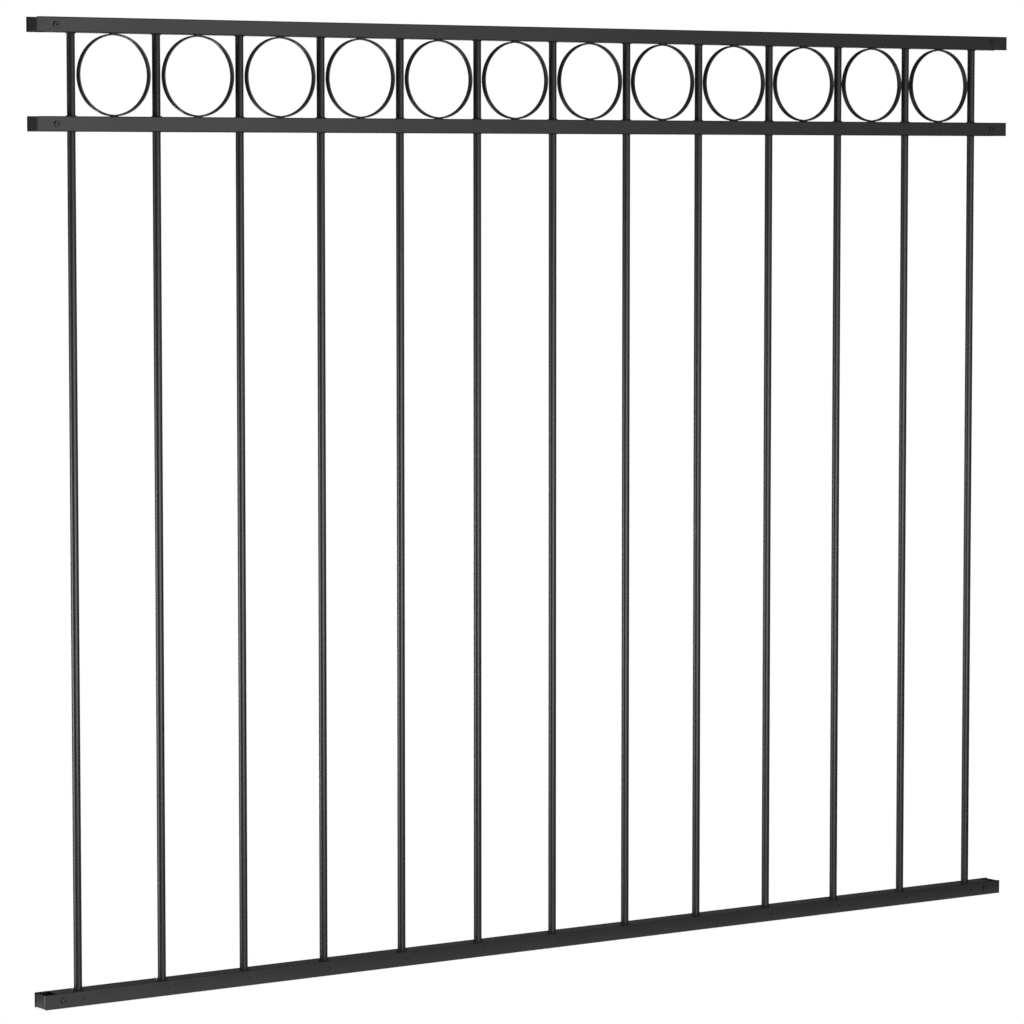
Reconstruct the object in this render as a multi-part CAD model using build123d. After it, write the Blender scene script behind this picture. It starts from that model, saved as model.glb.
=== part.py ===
from build123d import *
import os

# Steel fence panel: three hollow rails, round upright bars, a row of rings and six post brackets.
# Millimetres. X runs along the panel from its left end, Y is depth with the front at -Y, Z is up.
# The origin is the middle of the outer face of the bottom left bracket, which bears on the post.

# Overall sizes of the panel
panel_width = 1650.0
panel_height = 1300.0

# Rectangular tube of the three rails
rail_height = 20.0
rail_depth = 30.0
rail_wall = 1.0
rail_inside_radius = 0.3
notch_length = 18.0

# Upright round bars
bar_count = 13
bar_diameter = 11.0
end_overhang = 57.0
bar_hole_clearance = 0.5

# Flat band rings between the top rail and the middle rail
ring_thickness = 2.0
ring_width = 8.0
ring_bar_clearance = 4.5
ring_weld_gap = 0.25

# U-shaped brackets folded from strip, which slide into the rail ends and bear on the posts
bracket_length = 42.0
bracket_thickness = 1.5
bracket_inside_radius = 1.5
bracket_fit = 0.2

# How far a cutter runs past the face that it opens
cut_past = 1.0

# Sizes that follow from those above
bore_height = rail_height - 2 * rail_wall
bore_depth = rail_depth - 2 * rail_wall
notch_depth = rail_wall + rail_inside_radius
rail_outside_radius = rail_inside_radius + rail_wall
bar_pitch = (panel_width - 2 * end_overhang) / (bar_count - 1)
bar_hole_radius = bar_diameter / 2 + bar_hole_clearance
ring_outer_radius = (bar_pitch - bar_diameter) / 2 - ring_bar_clearance
ring_inner_radius = ring_outer_radius - ring_thickness
bracket_height = bore_height - 2 * bracket_fit
bracket_depth = bore_depth - 2 * bracket_fit
bracket_outside_radius = bracket_inside_radius + bracket_thickness

# Heights of the middles of the rails and the rings
bottom_rail_height = 0.0
top_rail_height = panel_height - rail_height
ring_height = top_rail_height - rail_height / 2 - ring_weld_gap - ring_outer_radius
middle_rail_height = ring_height - ring_outer_radius - ring_weld_gap - rail_height / 2
rail_heights = {"top": top_rail_height, "middle": middle_rail_height, "bottom": bottom_rail_height}

bar_places = [end_overhang + i * bar_pitch for i in range(bar_count)]
ring_places = [x + bar_pitch / 2 for x in bar_places[:-1]]


def end_notches(height):
    """Cutters for both ends of a rail that open its upper and lower walls between the front and back walls."""
    cutter = Box(notch_length + cut_past, bore_depth, notch_depth + cut_past)
    reach = (notch_length - cut_past) / 2
    rise = rail_height / 2 + (cut_past - notch_depth) / 2
    places = [(x, 0, height + z) for x in (reach, panel_width - reach) for z in (rise, -rise)]
    return [Pos(*place) * cutter for place in places]


def rail_tube(height):
    """Rectangular tube with rounded corners, whose upper and lower walls are notched at both ends."""
    section = RectangleRounded(rail_depth, rail_height, rail_outside_radius)
    section -= RectangleRounded(bore_depth, bore_height, rail_inside_radius)
    left_end = Plane(origin=(0, 0, height), x_dir=(0, 1, 0), z_dir=(1, 0, 0))
    return extrude(left_end * section, amount=panel_width) - end_notches(height)


def bar_holes(low, high):
    """Upright round cutters at every bar, from one height to another."""
    cutter = Cylinder(bar_hole_radius, high - low, align=(Align.CENTER, Align.CENTER, Align.MIN))
    return [Pos(x, 0, low) * cutter for x in bar_places]


def middle_rail():
    """Middle rail, drilled right through for the bars."""
    low = middle_rail_height - rail_height / 2 - cut_past
    high = middle_rail_height + rail_height / 2 + cut_past
    return rail_tube(middle_rail_height) - bar_holes(low, high)


def bottom_rail():
    """Bottom rail, drilled in its upper wall only, where the bars' feet go in."""
    upper_face = bottom_rail_height + rail_height / 2
    return rail_tube(bottom_rail_height) - bar_holes(upper_face - rail_wall - cut_past, upper_face + cut_past)


def upright_bar(x):
    """Round bar that stands on the bottom rail's lower wall and is welded under the top rail."""
    low = bottom_rail_height - bore_height / 2
    high = top_rail_height - rail_height / 2
    bar = Cylinder(bar_diameter / 2, high - low, align=(Align.CENTER, Align.CENTER, Align.MIN))
    return Pos(x, 0, low) * bar


def band_ring(x):
    """Ring rolled from flat band, facing the front, between two bars and two rails."""
    face = Plane(origin=(x, 0, ring_height), x_dir=(1, 0, 0), z_dir=(0, -1, 0))
    outline = Circle(ring_outer_radius) - Circle(ring_inner_radius)
    return extrude(face * outline, amount=ring_width / 2, both=True)


def bent_outline(start, depth, bend_radius):
    """Rectangle of the bracket's length from a start along X, with its two near corners rounded."""
    outline = Pos(start + bracket_length / 2, 0) * Rectangle(bracket_length, depth)
    return fillet(outline.vertices().group_by(Axis.X)[0], bend_radius)


def post_bracket():
    """Strip folded to a U: its closed end is flush with a rail's end, its legs run along +X inside the rail."""
    outside = bent_outline(0, bracket_depth, bracket_outside_radius)
    inside = bent_outline(bracket_thickness, bracket_depth - 2 * bracket_thickness, bracket_inside_radius)
    return extrude(outside - inside, amount=bracket_height / 2, both=True)


pieces = {
    "top_rail": rail_tube(top_rail_height),
    "middle_rail": middle_rail(),
    "bottom_rail": bottom_rail(),
    "rings": Compound([band_ring(x) for x in ring_places]),
}
for number, x in enumerate(bar_places, start=1):
    pieces[f"bar_{number:02d}"] = upright_bar(x)
for name, height in rail_heights.items():
    pieces[f"{name}_left_bracket"] = Pos(0, 0, height) * post_bracket()
    pieces[f"{name}_right_bracket"] = Pos(panel_width, 0, height) * Rot(0, 0, 180) * post_bracket()

os.makedirs("parts", exist_ok=True)
for node, piece in pieces.items():
    export_step(piece, f"parts/{node}.step")
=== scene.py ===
"""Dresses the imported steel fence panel: smooth bars and rings, welds, rivets, screws, coat and studio."""

import math

import bpy
import numpy as np
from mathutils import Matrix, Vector


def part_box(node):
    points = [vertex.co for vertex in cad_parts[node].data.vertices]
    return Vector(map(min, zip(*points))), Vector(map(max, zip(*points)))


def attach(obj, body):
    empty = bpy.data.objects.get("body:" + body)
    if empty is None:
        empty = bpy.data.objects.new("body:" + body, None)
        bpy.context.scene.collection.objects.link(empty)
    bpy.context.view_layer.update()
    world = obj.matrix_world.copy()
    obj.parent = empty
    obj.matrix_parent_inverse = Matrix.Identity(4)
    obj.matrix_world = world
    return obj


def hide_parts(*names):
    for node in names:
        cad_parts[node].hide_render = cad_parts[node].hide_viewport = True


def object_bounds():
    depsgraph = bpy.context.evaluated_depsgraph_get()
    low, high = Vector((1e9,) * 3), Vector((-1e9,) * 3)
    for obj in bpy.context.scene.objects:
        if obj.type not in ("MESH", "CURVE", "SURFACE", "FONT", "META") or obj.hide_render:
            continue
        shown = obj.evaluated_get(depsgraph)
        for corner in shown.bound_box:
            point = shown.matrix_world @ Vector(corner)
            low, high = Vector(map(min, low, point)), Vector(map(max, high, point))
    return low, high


bl_info = {
    "name": "Steel Fence Panel",
    "version": (1, 0, 0),
    "blender": (4, 5, 0),
    "location": "3D View > Sidebar > Fence Panel",
    "description": "Dresses a packed fence panel with smooth bars, rings, welds, screws and a satin coat",
    "category": "Object",
}

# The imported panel, its nodes and its box
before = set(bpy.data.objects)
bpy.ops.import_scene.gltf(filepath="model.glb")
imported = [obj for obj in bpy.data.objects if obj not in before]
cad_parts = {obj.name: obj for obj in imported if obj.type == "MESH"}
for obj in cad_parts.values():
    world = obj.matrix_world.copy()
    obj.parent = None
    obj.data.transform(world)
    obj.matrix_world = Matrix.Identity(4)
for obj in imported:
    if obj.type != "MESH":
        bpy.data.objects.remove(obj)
CAD_BOX = [list(corner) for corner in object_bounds()]
MM = 0.001
BODY = "root"
RAILS = ("top_rail", "middle_rail", "bottom_rail")
BARS = sorted(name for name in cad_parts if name.startswith("bar_"))
BRACKETS = sorted(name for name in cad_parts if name.endswith("_bracket"))

# How finely the surfaces are divided
BAR_SIDES = 64
BAR_END_STEPS = 6
RING_STEPS = 192
RING_EDGE_STEPS = 5
WELD_STEPS = 60
WELD_BOW_STEPS = 8
TACK_STATIONS = 24
TACK_SIDES = 16
HEAD_SIDES = 48
SCREW_DOME_STEPS = 8
RIVET_EDGE_STEPS = 6

# Angle in degrees past which an edge is shaded sharp
BAR_SHARP_ANGLE = 50
WELD_SHARP_ANGLE = 60
HEAD_SHARP_ANGLE = 35

# Seed of the welds' unevenness, and its waves: how many go round or along, and how large they are
WELD_SEED = 11
BEAD_WAVES = ((2, 0.12), (3, 0.08), (9, 0.06))
TACK_WAVES = ((4, 0.1), (13, 0.07))

# Share of a head's height that sinks into the rail
HEAD_SINK = 0.4

# Part of a noise texture's range that the coat and the screws spread over their shades
NOISE_LOW = 0.3
NOISE_HIGH = 0.7

# Round studio floor in metres: its middle along X, the radii of its first and last rings, and its divisions
FLOOR_MIDDLE = 0.8
FLOOR_RADII = (0.1, 3.4)
FLOOR_RINGS = 34
FLOOR_SIDES = 72

# Distance from the panel at which the floor has faded out, and its own light where it is seen directly
FLOOR_FADE = 0.1
FLOOR_LIFT = 0.6

# Direction of the white backdrop, and the angles off it, in degrees, between which it fades to gloom
BACKDROP_AXIS = (0.563, 0.817, -0.125)
BACKDROP_FULL = 6
BACKDROP_END = 14

# Place, width and height of each soft light in metres, and the place that all of them look at
LIGHT_TARGET = (0.8, 0.0, 0.65)
LIGHTS = {
    "key": ((0.2, -3.4, 0.2), 1.7, 1.5),
    "rim": ((-3.1, 0.83, 0.0), 1.5, 1.5),
    "fill": ((2.05, -3.6, 1.3), 1.4, 1.4),
    "side": ((3.8, -3.3, 1.0), 1.6, 1.4),
    "back": ((1.2, 3.4, 0.1), 0.8, 0.8),
    "top": ((0.8, 0.0, 3.2), 2.4, 2.0),
}

# Width of the camera's sensor in millimetres
SENSOR_WIDTH = 36.0


def node_middle(name):
    """Middle of a node's box."""
    low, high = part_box(name)
    return (low + high) / 2


def node_size(name):
    """Length of a node's box along X, Y and Z."""
    low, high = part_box(name)
    return high - low


# Where the bars and the rings stand along X
BAR_PLACES = np.array([node_middle(name).x for name in BARS])
RING_PLACES = (BAR_PLACES[1:] + BAR_PLACES[:-1]) / 2


def linear(colour):
    """Linear red, green, blue and alpha of an sRGB hex colour."""
    channels = np.array([int(colour[i:i + 2], 16) for i in (1, 3, 5)]) / 255
    values = np.where(channels <= 0.04045, channels / 12.92, ((channels + 0.055) / 1.055) ** 2.4)
    return (*values.tolist(), 1.0)


class FencePanelSizes(bpy.types.PropertyGroup):
    """Sizes of the pieces that dress the panel."""

    bar_end_round: bpy.props.FloatProperty(
        name="Bar end rounding", description="Radius on the sheared edge of a bar's end",
        default=0.6 * MM, min=0.0, precision=5, unit="LENGTH")
    ring_thickness: bpy.props.FloatProperty(
        name="Ring thickness", description="Thickness of the flat band that a ring is rolled from",
        default=2.0 * MM, min=0.0, precision=5, unit="LENGTH")
    ring_edge_round: bpy.props.FloatProperty(
        name="Ring edge rounding", description="Radius on the band's long edges",
        default=0.3 * MM, min=0.0, precision=5, unit="LENGTH")
    weld_reach: bpy.props.FloatProperty(
        name="Weld reach", description="How far a weld bead reaches out from a bar along the rail",
        default=1.9 * MM, min=0.0, precision=5, unit="LENGTH")
    weld_rise: bpy.props.FloatProperty(
        name="Weld rise", description="How far a weld bead climbs along a bar",
        default=1.2 * MM, min=0.0, precision=5, unit="LENGTH")
    tack_length: bpy.props.FloatProperty(
        name="Ring tack length", description="Length of a weld tack between a ring and a rail",
        default=9.0 * MM, min=0.0, precision=5, unit="LENGTH")
    tack_thickness: bpy.props.FloatProperty(
        name="Ring tack thickness", description="Thickness of a weld tack between a ring and a rail",
        default=1.8 * MM, min=0.0, precision=5, unit="LENGTH")
    rivet_inset: bpy.props.FloatProperty(
        name="Rivet inset", description="From the panel's end to the rivet that holds the bracket",
        default=28.0 * MM, min=0.0, precision=5, unit="LENGTH")
    rivet_width: bpy.props.FloatProperty(
        name="Rivet width", description="Diameter of the flat head of a rivet",
        default=8.5 * MM, min=0.0, precision=5, unit="LENGTH")
    rivet_height: bpy.props.FloatProperty(
        name="Rivet height", description="How far the head of a rivet stands proud of the rail",
        default=1.9 * MM, min=0.0, precision=5, unit="LENGTH")
    foot_screw_width: bpy.props.FloatProperty(
        name="Foot screw width", description="Diameter of the head of a screw at a bar's foot",
        default=3.8 * MM, min=0.0, precision=5, unit="LENGTH")
    foot_screw_height: bpy.props.FloatProperty(
        name="Foot screw height", description="How far the head of a foot screw stands proud of the rail",
        default=0.8 * MM, min=0.0, precision=5, unit="LENGTH")


class FencePanelFinish(bpy.types.PropertyGroup):
    """Colours and gloss of the coat, and the colours of the screws and the floor."""

    coat_colour: bpy.props.FloatVectorProperty(
        name="Coat colour", description="Colour of the powder coat",
        default=linear("#151515"), size=4, min=0.0, max=1.0, subtype="COLOR")
    coat_roughness: bpy.props.FloatProperty(
        name="Coat roughness", description="Blur of the reflections in the powder coat",
        default=0.38, min=0.0, max=1.0, subtype="FACTOR")
    screw_colour: bpy.props.FloatVectorProperty(
        name="Screw colour", description="Colour of the blackened screws",
        default=linear("#2b2b2c"), size=4, min=0.0, max=1.0, subtype="COLOR")
    floor_colour: bpy.props.FloatVectorProperty(
        name="Floor colour", description="Colour of the studio floor",
        default=linear("#e8e8e6"), size=4, min=0.0, max=1.0, subtype="COLOR")


class FencePanelStage(bpy.types.PropertyGroup):
    """Camera and lights of the studio."""

    camera_place: bpy.props.FloatVectorProperty(
        name="Camera place", description="Where the camera stands",
        default=(-2.7417, -5.0565, 1.0987), subtype="TRANSLATION", unit="LENGTH")
    camera_turn: bpy.props.FloatVectorProperty(
        name="Camera turn", description="Pitch, roll and yaw of the camera",
        default=(math.radians(85.48), 0.0, math.radians(-34.67)), subtype="EULER", unit="ROTATION")
    camera_lens: bpy.props.FloatProperty(
        name="Camera lens", description="Focal length in millimetres on a sensor 36 mm wide", default=154.49)
    key_power: bpy.props.FloatProperty(
        name="Key power", description="Power of the soft light in front of the panel",
        default=110.0, min=0.0, unit="POWER")
    rim_power: bpy.props.FloatProperty(
        name="Rim power", description="Power of the soft light at the panel's left",
        default=120.0, min=0.0, unit="POWER")
    fill_power: bpy.props.FloatProperty(
        name="Fill power", description="Power of the dim light in front of the panel's right half",
        default=25.0, min=0.0, unit="POWER")
    side_power: bpy.props.FloatProperty(
        name="Side power", description="Power of the faint light beyond the panel's right end",
        default=7.0, min=0.0, unit="POWER")
    back_power: bpy.props.FloatProperty(
        name="Back power", description="Power of the soft light behind the panel",
        default=14.0, min=0.0, unit="POWER")
    top_power: bpy.props.FloatProperty(
        name="Top power", description="Power of the soft light above the panel",
        default=20.0, min=0.0, unit="POWER")
    ambient: bpy.props.FloatProperty(
        name="Ambient", description="Brightness of the studio's walls", default=0.4, min=0.0)
    gloom: bpy.props.FloatProperty(
        name="Gloom", description="Brightness of the studio beside the backdrop, as the coat mirrors it",
        default=0.12, min=0.0)


def skin(grid, ring):
    """Points and faces over a grid of copies, rows and columns of points.

    The columns close on themselves. The rows close too where ring is true, and otherwise a fan to the middle
    of the first row and of the last row closes each end. Faces are turned outwards by the sign of the volume.
    """
    copies, rows, columns = grid.shape[:3]
    index = np.arange(rows * columns).reshape(rows, columns)
    near = index if ring else index[:-1]
    far = np.roll(index, -1, axis=0) if ring else index[1:]
    corners = (near, np.roll(near, -1, axis=1), np.roll(far, -1, axis=1), far)
    quads = np.stack(corners, axis=-1).reshape(-1, 4)
    points = grid.reshape(copies, -1, 3)
    fans = np.empty((0, 3), int)
    if not ring:
        ends = np.stack([grid[:, 0].mean(1), grid[:, -1].mean(1)], axis=1)
        points = np.concatenate([points, ends], axis=1)
        first = np.stack([np.roll(index[0], -1), index[0], np.full(columns, rows * columns)], axis=-1)
        last = np.stack([index[-1], np.roll(index[-1], -1), np.full(columns, rows * columns + 1)], axis=-1)
        fans = np.concatenate([first, last])
    triangles = np.concatenate([quads[:, [0, 1, 2]], quads[:, [0, 2, 3]], fans])
    a, b, c = (points[0][triangles[:, i]] for i in range(3))
    if np.einsum("ij,ij->i", a, np.cross(b, c)).sum() < 0:
        quads = quads[:, ::-1]
        fans = fans[:, ::-1]
    offsets = np.arange(copies)[:, None, None] * points.shape[1]
    faces = (quads + offsets).reshape(-1, 4).tolist() + (fans + offsets).reshape(-1, 3).tolist()
    return points.reshape(-1, 3), faces


def make_piece(name, points, faces, material, sharp_angle):
    """One smooth shaded piece at the origin, on the panel's body and with the given material."""
    mesh = bpy.data.meshes.new(name)
    mesh.from_pydata(points.tolist(), [], faces)
    mesh.shade_smooth()
    mesh.set_sharp_from_angle(angle=math.radians(sharp_angle))
    mesh.materials.append(material)
    piece = bpy.data.objects.new(name, mesh)
    bpy.context.scene.collection.objects.link(piece)
    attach(piece, BODY)
    return piece


def turned(radii, heights):
    """Surface of revolution about +Z, as rows of stations and columns of angles.

    At station s and angle a the point is (r(s, a) cos a, r(s, a) sin a, h(s)).
    """
    angles = np.linspace(0, 2 * math.pi, radii.shape[1], endpoint=False)
    tall = np.broadcast_to(heights[:, None], radii.shape)
    return np.stack([radii * np.cos(angles), radii * np.sin(angles), tall], axis=-1)


def rounded_outline(half_width, half_height, radius, steps):
    """Closed outline of a rectangle with round corners.

    Each corner is a quarter circle of the radius about a centre set in by the radius from both sides.
    """
    quarter = np.linspace(0, math.pi / 2, steps)
    angles = (quarter + np.arange(4)[:, None] * math.pi / 2).ravel()
    across = np.repeat([1, -1, -1, 1], steps) * (half_width - radius) + radius * np.cos(angles)
    up = np.repeat([1, 1, -1, -1], steps) * (half_height - radius) + radius * np.sin(angles)
    return across, up


def bar_surface(radius, low, high, end_round):
    """Round bar: a straight cylinder whose two end edges are quarter circles of the end rounding."""
    quarter = np.linspace(0, math.pi / 2, BAR_END_STEPS)
    pulled_in = radius - end_round * (1 - np.sin(quarter))
    rise = end_round * (1 - np.cos(quarter))
    radii = np.concatenate([pulled_in, pulled_in[::-1]])
    heights = np.concatenate([low + rise, high - rise[::-1]])
    return turned(np.repeat(radii[:, None], BAR_SIDES, axis=1), heights)


def ring_surface(radius, thickness, width, edge_round):
    """Flat band bent to a ring about the Y axis.

    At angle a round the ring and place p on the band's outline, the point is (r(p) cos a, y(p), r(p) sin a).
    """
    across, deep = rounded_outline(thickness / 2, width / 2, edge_round, RING_EDGE_STEPS)
    angles = np.linspace(0, 2 * math.pi, RING_STEPS, endpoint=False)[:, None]
    reach = radius - thickness / 2 + across
    return np.stack([reach * np.cos(angles), deep + 0 * angles, reach * np.sin(angles)], axis=-1)


def unevenness(angles, waves, phases):
    """One plus a cosine for each wave: size times cos(count times the angle, plus the wave's phase)."""
    return 1 + sum(size * np.cos(count * angles + phase) for (count, size), phase in zip(waves, phases))


def weld_surface(radius, reach, rise, phases):
    """Weld bead round a bar where it meets a rail's face at height zero.

    The bead's outline goes from the rail at one reach out to the bar at one rise up, on a curve between a
    straight line and a quarter circle, and closes inside the metal. The bead swells and shrinks unevenly with
    the angle round the bar.
    """
    flatness = 1.45
    into_bar = 0.25
    into_rail = 0.2
    bow = np.linspace(0, math.pi / 2, WELD_BOW_STEPS)
    out = np.concatenate([np.cos(bow) ** flatness, [-into_bar, -into_bar, 1.0]])
    up = np.concatenate([np.sin(bow) ** flatness, [1.0, -into_rail, -into_rail]])
    angles = np.linspace(0, 2 * math.pi, WELD_STEPS, endpoint=False)[:, None]
    swell = unevenness(angles, BEAD_WAVES, phases)
    spread = radius + reach * swell * out
    return np.stack([spread * np.cos(angles), spread * np.sin(angles), rise * swell * up], axis=-1)


def tack_surface(length, thickness, phases):
    """Short weld tack along X: a stretched ball, rippled along its length.

    At angle t from end to end and angle a round it, the point is
    (length/2 cos t, thickness/2 sin t ripple(t) cos a, thickness/2 sin t ripple(t) sin a).
    """
    along = np.linspace(0, math.pi, TACK_STATIONS + 2)[1:-1, None]
    angles = np.linspace(0, 2 * math.pi, TACK_SIDES, endpoint=False)
    ripple = unevenness(along, TACK_WAVES, phases)
    girth = thickness / 2 * np.sin(along) * ripple
    line = length / 2 * np.cos(along) + 0 * angles
    return np.stack([line, girth * np.cos(angles), girth * np.sin(angles)], axis=-1)


def screw_surface(width, height):
    """Low button head with a hexagon socket, standing on height zero and pointing to +Z.

    The dome is a quarter ellipse in radius and height, cut off by a flat, and the socket's walls follow a
    hexagon, whose radius at angle a is flat / cos(a folded into one sixth of a turn about its middle).
    """
    radius = width / 2
    rim = 0.3 * height
    socket = 0.14 * width
    depth = 0.7 * height
    sixth = math.pi / 3
    angles = np.linspace(0, 2 * math.pi, HEAD_SIDES, endpoint=False)
    hexagon = socket / np.cos((angles + sixth / 2) % sixth - sixth / 2)
    dome = np.linspace(0, 0.42 * math.pi, SCREW_DOME_STEPS)
    dome_radii = np.concatenate([[0.97 * radius, radius], radius * np.cos(dome)])
    dome_heights = np.concatenate([[-HEAD_SINK * height, 0], rim + (height - rim) * np.sin(dome)])
    top = dome_heights[-1]
    socket_radii = [1.12 * hexagon, hexagon, hexagon, 0.97 * hexagon]
    socket_heights = [top + 0.01 * height, top - 0.1 * height, top - 0.9 * depth, top - depth]
    radii = np.concatenate([np.repeat(dome_radii[:, None], HEAD_SIDES, axis=1), socket_radii])
    return turned(radii, np.concatenate([dome_heights, socket_heights]))


def rivet_surface(width, height):
    """Blind rivet head, standing on height zero and pointing to +Z.

    A straight wall goes over into a flat top by a quarter circle, and a round hole sinks in the top's middle.
    """
    rim = 0.35 * height
    hole = 0.17 * width
    edge = np.linspace(0, math.pi / 2, RIVET_EDGE_STEPS)
    edge_radii = width / 2 - rim + rim * np.cos(edge)
    edge_heights = height - rim + rim * np.sin(edge)
    hole_heights = height * np.array([1.0, 0.93, 0.1, 0.1])
    radii = np.concatenate([[width / 2], edge_radii, [1.1 * hole, hole, hole, 0.1 * hole]])
    heights = np.concatenate([[-HEAD_SINK * height], edge_heights, hole_heights])
    return turned(np.repeat(radii[:, None], HEAD_SIDES, axis=1), heights)


def add_node(tree, kind, settings=(), inputs=()):
    """A node of a kind with its settings; an input takes a value or another node's output."""
    node = tree.nodes.new(kind)
    for name, value in dict(settings).items():
        setattr(node, name, value)
    for name, value in dict(inputs).items():
        if isinstance(value, bpy.types.NodeSocket):
            tree.links.new(value, node.inputs[name])
        else:
            node.inputs[name].default_value = value
    return node


def empty_tree(owner):
    """The node tree of a material or a world, with nothing in it."""
    owner.use_nodes = True
    owner.node_tree.nodes.clear()
    return owner.node_tree


def per_metre(size_mm):
    """Scale of a noise texture whose features are this many millimetres wide."""
    return 1000 / size_mm


def powder_coat():
    """Satin black polyester powder coat, sprayed and baked on steel tube and bar."""
    name = "satin_polyester_powder_coat_on_steel"
    if name in bpy.data.materials:
        return bpy.data.materials[name]
    finish = bpy.context.scene.fence_finish
    material = bpy.data.materials.new(name)
    tree = empty_tree(material)
    place = add_node(tree, "ShaderNodeTexCoord").outputs["Object"]
    # The film's thickness drifts over a hand's breadth, which makes the black a shade lighter or darker
    drift = add_node(tree, "ShaderNodeTexNoise", inputs={
        "Vector": place, "Scale": per_metre(90), "Detail": 3.0, "Roughness": 0.55})
    # Grains of powder melt together unevenly; real ones are 0.05 mm, drawn here at 1.6 mm so that they show
    grain = add_node(tree, "ShaderNodeTexNoise", inputs={
        "Vector": place, "Scale": per_metre(1.6), "Detail": 2.0, "Roughness": 0.6})
    # A fifth of the shade comes from the grains and the rest from the drift
    shade = add_node(tree, "ShaderNodeMix", {"data_type": "FLOAT"}, {
        0: 0.2, 2: drift.outputs["Fac"], 3: grain.outputs["Fac"]})
    ramp = add_node(tree, "ShaderNodeValToRGB", inputs={"Fac": shade.outputs[0]})
    base = np.array(finish.coat_colour[:3])
    ramp.color_ramp.elements[0].position = NOISE_LOW
    ramp.color_ramp.elements[0].color = (*(base * 0.9), 1.0)
    ramp.color_ramp.elements[1].position = NOISE_HIGH
    ramp.color_ramp.elements[1].color = (*(base * 1.1), 1.0)
    # Gloss varies with the film as well
    gloss = add_node(tree, "ShaderNodeMapRange", inputs={
        "Value": shade.outputs[0], "From Min": NOISE_LOW, "From Max": NOISE_HIGH,
        "To Min": finish.coat_roughness - 0.03, "To Max": finish.coat_roughness + 0.03})
    # Orange peel: shallow waves left as the film flows out, about 3 mm from crest to crest
    peel = add_node(tree, "ShaderNodeTexNoise", inputs={
        "Vector": place, "Scale": per_metre(3.0), "Detail": 1.0, "Roughness": 0.5})
    bump = add_node(tree, "ShaderNodeBump", inputs={
        "Strength": 0.02, "Distance": 0.1 * MM, "Height": peel.outputs["Fac"]})
    shader = add_node(tree, "ShaderNodeBsdfPrincipled", inputs={
        "Base Color": ramp.outputs["Color"], "Roughness": gloss.outputs["Result"],
        "Normal": bump.outputs["Normal"], "Specular IOR Level": 0.35})
    add_node(tree, "ShaderNodeOutputMaterial", inputs={"Surface": shader.outputs["BSDF"]})
    return material


def screw_steel():
    """Blackened steel screws: darker than the coat, with a thin oily shine."""
    name = "black_oxide_steel_screws"
    if name in bpy.data.materials:
        return bpy.data.materials[name]
    finish = bpy.context.scene.fence_finish
    material = bpy.data.materials.new(name)
    tree = empty_tree(material)
    place = add_node(tree, "ShaderNodeTexCoord").outputs["Object"]
    # The oxide is a little patchy over a millimetre or so
    patch = add_node(tree, "ShaderNodeTexNoise", inputs={
        "Vector": place, "Scale": per_metre(1.2), "Detail": 3.0, "Roughness": 0.6})
    ramp = add_node(tree, "ShaderNodeValToRGB", inputs={"Fac": patch.outputs["Fac"]})
    base = np.array(finish.screw_colour[:3])
    ramp.color_ramp.elements[0].position = NOISE_LOW
    ramp.color_ramp.elements[0].color = (*(base * 0.7), 1.0)
    ramp.color_ramp.elements[1].position = NOISE_HIGH
    ramp.color_ramp.elements[1].color = (*(base * 1.3), 1.0)
    gloss = add_node(tree, "ShaderNodeMapRange", inputs={
        "Value": patch.outputs["Fac"], "From Min": NOISE_LOW, "From Max": NOISE_HIGH,
        "To Min": 0.35, "To Max": 0.5})
    shader = add_node(tree, "ShaderNodeBsdfPrincipled", inputs={
        "Base Color": ramp.outputs["Color"], "Roughness": gloss.outputs["Result"], "Metallic": 1.0})
    add_node(tree, "ShaderNodeOutputMaterial", inputs={"Surface": shader.outputs["BSDF"]})
    return material


def seen_directly(tree):
    """One for rays from the camera, from a mirror or through glass, and zero for the rest."""
    path = add_node(tree, "ShaderNodeLightPath")
    mirrored = add_node(tree, "ShaderNodeMath", {"operation": "MAXIMUM"}, {
        0: path.outputs["Is Camera Ray"], 1: path.outputs["Is Glossy Ray"]})
    through = add_node(tree, "ShaderNodeMath", {"operation": "MAXIMUM"}, {
        0: mirrored.outputs[0], 1: path.outputs["Is Transmission Ray"]})
    return through.outputs[0]


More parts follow.
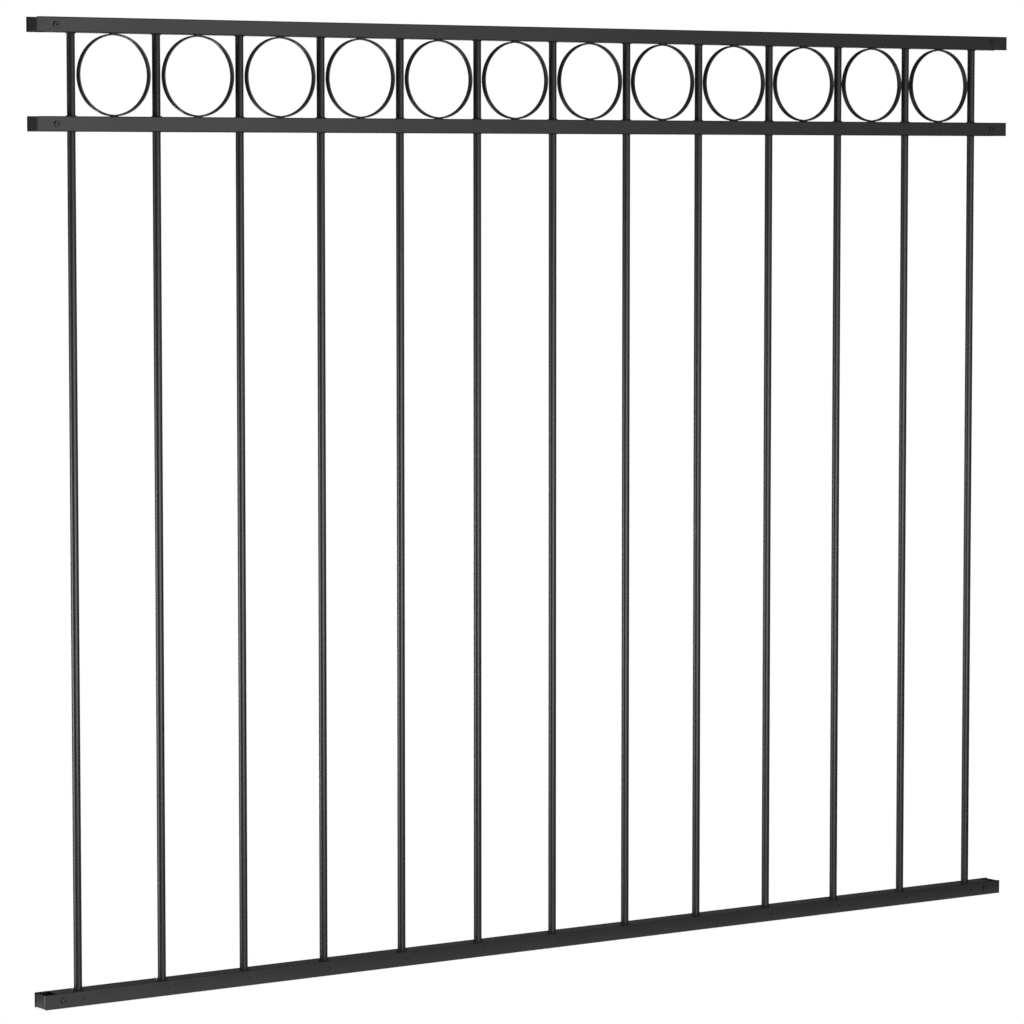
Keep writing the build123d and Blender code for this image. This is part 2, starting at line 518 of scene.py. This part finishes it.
def floor_paint():
    """Matt white floor paint that fades out to the white background at its edge and keeps the shadow."""
    material = bpy.data.materials.new("matt_white_floor_paint")
    tree = empty_tree(material)
    colour = bpy.context.scene.fence_finish.floor_colour
    matt = add_node(tree, "ShaderNodeBsdfDiffuse", inputs={"Color": tuple(colour)})
    lift = add_node(tree, "ShaderNodeMath", {"operation": "MULTIPLY"}, {
        0: seen_directly(tree), 1: FLOOR_LIFT})
    glow = add_node(tree, "ShaderNodeEmission", inputs={"Strength": lift.outputs[0]})
    lit = add_node(tree, "ShaderNodeAddShader", inputs={0: matt.outputs[0], 1: glow.outputs[0]})
    clear = add_node(tree, "ShaderNodeBsdfTransparent")
    # Distance from the line that the panel stands on, from one end to the other
    place = add_node(tree, "ShaderNodeTexCoord").outputs["Object"]
    nearest = add_node(tree, "ShaderNodeVectorMath", {"operation": "MINIMUM"}, {
        0: place, 1: (CAD_BOX[1][0], 0.0, 0.0)})
    foot = add_node(tree, "ShaderNodeVectorMath", {"operation": "MULTIPLY"}, {
        0: nearest.outputs["Vector"], 1: (1.0, 0.0, 1.0)})
    start = add_node(tree, "ShaderNodeVectorMath", {"operation": "MAXIMUM"}, {
        0: foot.outputs["Vector"], 1: (CAD_BOX[0][0], 0.0, -1.0)})
    away = add_node(tree, "ShaderNodeVectorMath", {"operation": "DISTANCE"}, {
        0: place, 1: start.outputs["Vector"]})
    fade = add_node(tree, "ShaderNodeMapRange", {"interpolation_type": "SMOOTHSTEP"}, {
        "Value": away.outputs["Value"], "From Min": 0.0, "From Max": FLOOR_FADE})
    blend = add_node(tree, "ShaderNodeMixShader", inputs={
        0: fade.outputs["Result"], 1: lit.outputs[0], 2: clear.outputs[0]})
    add_node(tree, "ShaderNodeOutputMaterial", inputs={"Surface": blend.outputs[0]})
    return material


class FENCE_OT_rails_and_brackets(bpy.types.Operator):
    """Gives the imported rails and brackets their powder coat"""

    bl_idname = "fence_panel.rails_and_brackets"
    bl_label = "Coat rails and brackets"

    def execute(self, context):
        for name in (*RAILS, *BRACKETS):
            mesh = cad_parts[name].data
            mesh.materials.clear()
            mesh.materials.append(powder_coat())
        return {"FINISHED"}


class FENCE_OT_upright_bars(bpy.types.Operator):
    """Makes a smooth round bar in place of each packed bar"""

    bl_idname = "fence_panel.upright_bars"
    bl_label = "Make upright bars"

    def execute(self, context):
        sizes = context.scene.fence_sizes
        for name in BARS:
            low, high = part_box(name)
            middle = node_middle(name)
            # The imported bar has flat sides, so half its box is rounded to a tenth of a millimetre
            radius = round((high.x - low.x) / 2, 4)
            surface = bar_surface(radius, low.z, high.z, sizes.bar_end_round)
            grid = (surface + np.array([middle.x, middle.y, 0]))[None]
            piece = make_piece(f"round_{name}", *skin(grid, ring=False), powder_coat(), BAR_SHARP_ANGLE)
            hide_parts(name)
        return {"FINISHED"}


class FENCE_OT_band_rings(bpy.types.Operator):
    """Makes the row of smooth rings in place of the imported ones"""

    bl_idname = "fence_panel.band_rings"
    bl_label = "Make band rings"

    def execute(self, context):
        sizes = context.scene.fence_sizes
        middle = node_middle("rings")
        extent = node_size("rings")
        surface = ring_surface(extent.z / 2, sizes.ring_thickness, extent.y, sizes.ring_edge_round)
        places = np.stack([RING_PLACES, 0 * RING_PLACES + middle.y, 0 * RING_PLACES + middle.z], axis=-1)
        grid = surface[None] + places[:, None, None]
        piece = make_piece("rolled_rings", *skin(grid, ring=True), powder_coat(), BAR_SHARP_ANGLE)
        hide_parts("rings")
        return {"FINISHED"}


class FENCE_OT_bar_welds(bpy.types.Operator):
    """Makes the weld beads round the bars at the three rails"""

    bl_idname = "fence_panel.bar_welds"
    bl_label = "Make bar welds"

    def execute(self, context):
        sizes = context.scene.fence_sizes
        chance = np.random.default_rng(WELD_SEED)
        radius = node_size(BARS[0]).x / 2
        # Height of the rail's face, side on which the bead lies, and the bead's size against the usual one
        joints = {
            "top_rail_welds": (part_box("top_rail")[0].z, -1, 1.0),
            "middle_rail_upper_welds": (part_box("middle_rail")[1].z, 1, 1.0),
            "middle_rail_lower_welds": (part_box("middle_rail")[0].z, -1, 0.45),
            "bottom_rail_welds": (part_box("bottom_rail")[1].z, 1, 1.2),
        }
        for name, (height, side, size) in joints.items():
            beads = []
            for x in BAR_PLACES:
                phases = chance.uniform(0, 2 * math.pi, len(BEAD_WAVES))
                bead = weld_surface(radius, size * sizes.weld_reach, side * size * sizes.weld_rise, phases)
                beads.append(bead + np.array([x, 0, height]))
            make_piece(name, *skin(np.stack(beads), ring=True), powder_coat(), WELD_SHARP_ANGLE)
        return {"FINISHED"}


class FENCE_OT_ring_welds(bpy.types.Operator):
    """Makes the weld tacks that hold the rings to the rails, at front and back"""

    bl_idname = "fence_panel.ring_welds"
    bl_label = "Make ring welds"

    def execute(self, context):
        sizes = context.scene.fence_sizes
        chance = np.random.default_rng(WELD_SEED + 1)
        low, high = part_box("rings")
        tacks = []
        for x in RING_PLACES:
            for z in (low.z, high.z):
                for y in (low.y, high.y):
                    phases = chance.uniform(0, 2 * math.pi, len(TACK_WAVES))
                    tack = tack_surface(sizes.tack_length, sizes.tack_thickness, phases)
                    tacks.append(tack + np.array([x, y, z]))
        make_piece("ring_weld_tacks", *skin(np.stack(tacks), ring=False), powder_coat(), WELD_SHARP_ANGLE)
        return {"FINISHED"}


def make_heads(name, head, places, material):
    """Like heads on the panel's front and back, as one piece.

    A head's +Z turns away from the panel's middle plane, and its +Y turns to +Z.
    """
    grids = []
    for place in places:
        out = math.copysign(1, place[1])
        turned_head = np.stack([-out * head[..., 0], out * head[..., 2], head[..., 1]], axis=-1)
        grids.append(turned_head + np.array(place))
    make_piece(name, *skin(np.stack(grids), ring=False), material, HEAD_SHARP_ANGLE)


class FENCE_OT_bracket_rivets(bpy.types.Operator):
    """Makes the coated rivets that hold the brackets in the rail ends"""

    bl_idname = "fence_panel.bracket_rivets"
    bl_label = "Make bracket rivets"

    def execute(self, context):
        sizes = context.scene.fence_sizes
        ends = (CAD_BOX[0][0] + sizes.rivet_inset, CAD_BOX[1][0] - sizes.rivet_inset)
        places = [
            (x, side.y, node_middle(rail).z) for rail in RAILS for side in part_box(rail) for x in ends]
        head = rivet_surface(sizes.rivet_width, sizes.rivet_height)
        make_heads("bracket_rivets", head, places, powder_coat())
        return {"FINISHED"}


class FENCE_OT_foot_screws(bpy.types.Operator):
    """Makes the small screws that hold the bars' feet in the bottom rail"""

    bl_idname = "fence_panel.foot_screws"
    bl_label = "Make foot screws"

    def execute(self, context):
        sizes = context.scene.fence_sizes
        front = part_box("bottom_rail")[0].y
        height = node_middle("bottom_rail").z
        places = [(x, front, height) for x in BAR_PLACES]
        head = screw_surface(sizes.foot_screw_width, sizes.foot_screw_height)
        make_heads("foot_screws", head, places, screw_steel())
        return {"FINISHED"}


def soft_light(name, place, width, height, power):
    """Rectangular soft light that looks at the panel's middle."""
    lamp = bpy.data.lights.new(name, "AREA")
    lamp.shape = "RECTANGLE"
    lamp.size = width
    lamp.size_y = height
    lamp.energy = power
    light = bpy.data.objects.new(name, lamp)
    light.location = place
    light.visible_camera = False
    light.rotation_euler = (Vector(LIGHT_TARGET) - Vector(place)).to_track_quat("-Z", "Y").to_euler()
    bpy.context.scene.collection.objects.link(light)


class FENCE_OT_stage(bpy.types.Operator):
    """Makes the floor, the white background, the lights and the camera"""

    bl_idname = "fence_panel.stage"
    bl_label = "Make stage"

    def execute(self, context):
        scene = context.scene
        stage = scene.fence_stage
        scene.view_settings.view_transform = "Standard"
        self.make_floor()
        self.make_world(scene, stage)
        for name, (place, width, height) in LIGHTS.items():
            soft_light(f"{name}_light", place, width, height, getattr(stage, f"{name}_power"))
        self.make_camera(scene, stage)
        return {"FINISHED"}

    def make_floor(self):
        """Round floor under the panel: rings of points at even radii about the panel's middle."""
        radii = np.linspace(*FLOOR_RADII, FLOOR_RINGS)[:, None] * np.ones(FLOOR_SIDES)
        disc = turned(radii, np.full(FLOOR_RINGS, CAD_BOX[0][2])) + np.array([FLOOR_MIDDLE, 0, 0])
        mesh = bpy.data.meshes.new("studio_floor")
        points, faces = skin(disc[None], ring=False)
        # The floor is open at its edge, so the fan to the last point is left off
        last = len(points) - 1
        mesh.from_pydata(points[:-1].tolist(), [], [face for face in faces if last not in face])
        mesh.materials.append(floor_paint())
        floor = bpy.data.objects.new("studio_floor", mesh)
        bpy.context.scene.collection.objects.link(floor)

    def make_world(self, scene, stage):
        """White backdrop behind the panel, gloom beside it for the coat to mirror, and even light around."""
        world = bpy.data.worlds.new("white_studio")
        scene.world = world
        tree = empty_tree(world)
        path = add_node(tree, "ShaderNodeLightPath")
        toward = add_node(tree, "ShaderNodeTexCoord").outputs["Generated"]
        ahead = add_node(tree, "ShaderNodeVectorMath", {"operation": "DOT_PRODUCT"}, {
            0: toward, 1: BACKDROP_AXIS})
        backdrop = add_node(tree, "ShaderNodeMapRange", {"interpolation_type": "SMOOTHSTEP"}, {
            "Value": ahead.outputs["Value"], "From Min": math.cos(math.radians(BACKDROP_END)),
            "From Max": math.cos(math.radians(BACKDROP_FULL)), "To Min": stage.gloom, "To Max": 1.0})
        white = add_node(tree, "ShaderNodeMath", {"operation": "MAXIMUM"}, {
            0: backdrop.outputs["Result"], 1: path.outputs["Is Camera Ray"]})
        strength = add_node(tree, "ShaderNodeMix", {"data_type": "FLOAT"}, {
            0: seen_directly(tree), 2: stage.ambient, 3: white.outputs[0]})
        studio = add_node(tree, "ShaderNodeBackground", inputs={
            "Color": (1, 1, 1, 1), "Strength": strength.outputs[0]})
        add_node(tree, "ShaderNodeOutputWorld", inputs={"Surface": studio.outputs[0]})
        world.cycles.sampling_method = "NONE"

    def make_camera(self, scene, stage):
        """Camera at the photograph's angle."""
        data = bpy.data.cameras.new("camera")
        data.sensor_width = SENSOR_WIDTH
        data.lens = stage.camera_lens
        camera = bpy.data.objects.new("camera", data)
        camera.location = stage.camera_place
        camera.rotation_euler = stage.camera_turn
        scene.collection.objects.link(camera)
        scene.camera = camera


# The steps in order, and the settings that they read
OPERATORS = (
    FENCE_OT_rails_and_brackets,
    FENCE_OT_upright_bars,
    FENCE_OT_band_rings,
    FENCE_OT_bar_welds,
    FENCE_OT_ring_welds,
    FENCE_OT_bracket_rivets,
    FENCE_OT_foot_screws,
    FENCE_OT_stage,
)
GROUPS = {"fence_sizes": FencePanelSizes, "fence_finish": FencePanelFinish, "fence_stage": FencePanelStage}


class FENCE_PT_panel(bpy.types.Panel):
    """Lists the sizes, the colours and the steps that dress the fence panel"""

    bl_idname = "FENCE_PT_panel"
    bl_label = "Fence Panel"
    bl_space_type = "VIEW_3D"
    bl_region_type = "UI"
    bl_category = "Fence Panel"

    def draw(self, context):
        for group in GROUPS:
            box = self.layout.box()
            settings = getattr(context.scene, group)
            for name in settings.__annotations__:
                box.prop(settings, name)
        for operator in OPERATORS:
            self.layout.operator(operator.bl_idname)


CLASSES = (*GROUPS.values(), *OPERATORS, FENCE_PT_panel)


def register():
    """Registers the classes and hangs the settings on the scene."""
    for each in CLASSES:
        bpy.utils.register_class(each)
    for name, group in GROUPS.items():
        setattr(bpy.types.Scene, name, bpy.props.PointerProperty(type=group))


def unregister():
    """Takes the settings off the scene and unregisters the classes."""
    for name in GROUPS:
        delattr(bpy.types.Scene, name)
    for each in reversed(CLASSES):
        bpy.utils.unregister_class(each)


def main():
    """Dresses the panel step by step."""
    register()
    bpy.ops.fence_panel.rails_and_brackets()
    bpy.ops.fence_panel.upright_bars()
    bpy.ops.fence_panel.band_rings()
    bpy.ops.fence_panel.bar_welds()
    bpy.ops.fence_panel.ring_welds()
    bpy.ops.fence_panel.bracket_rivets()
    bpy.ops.fence_panel.foot_screws()
    bpy.ops.fence_panel.stage()


if __name__ == "__main__":
    main()
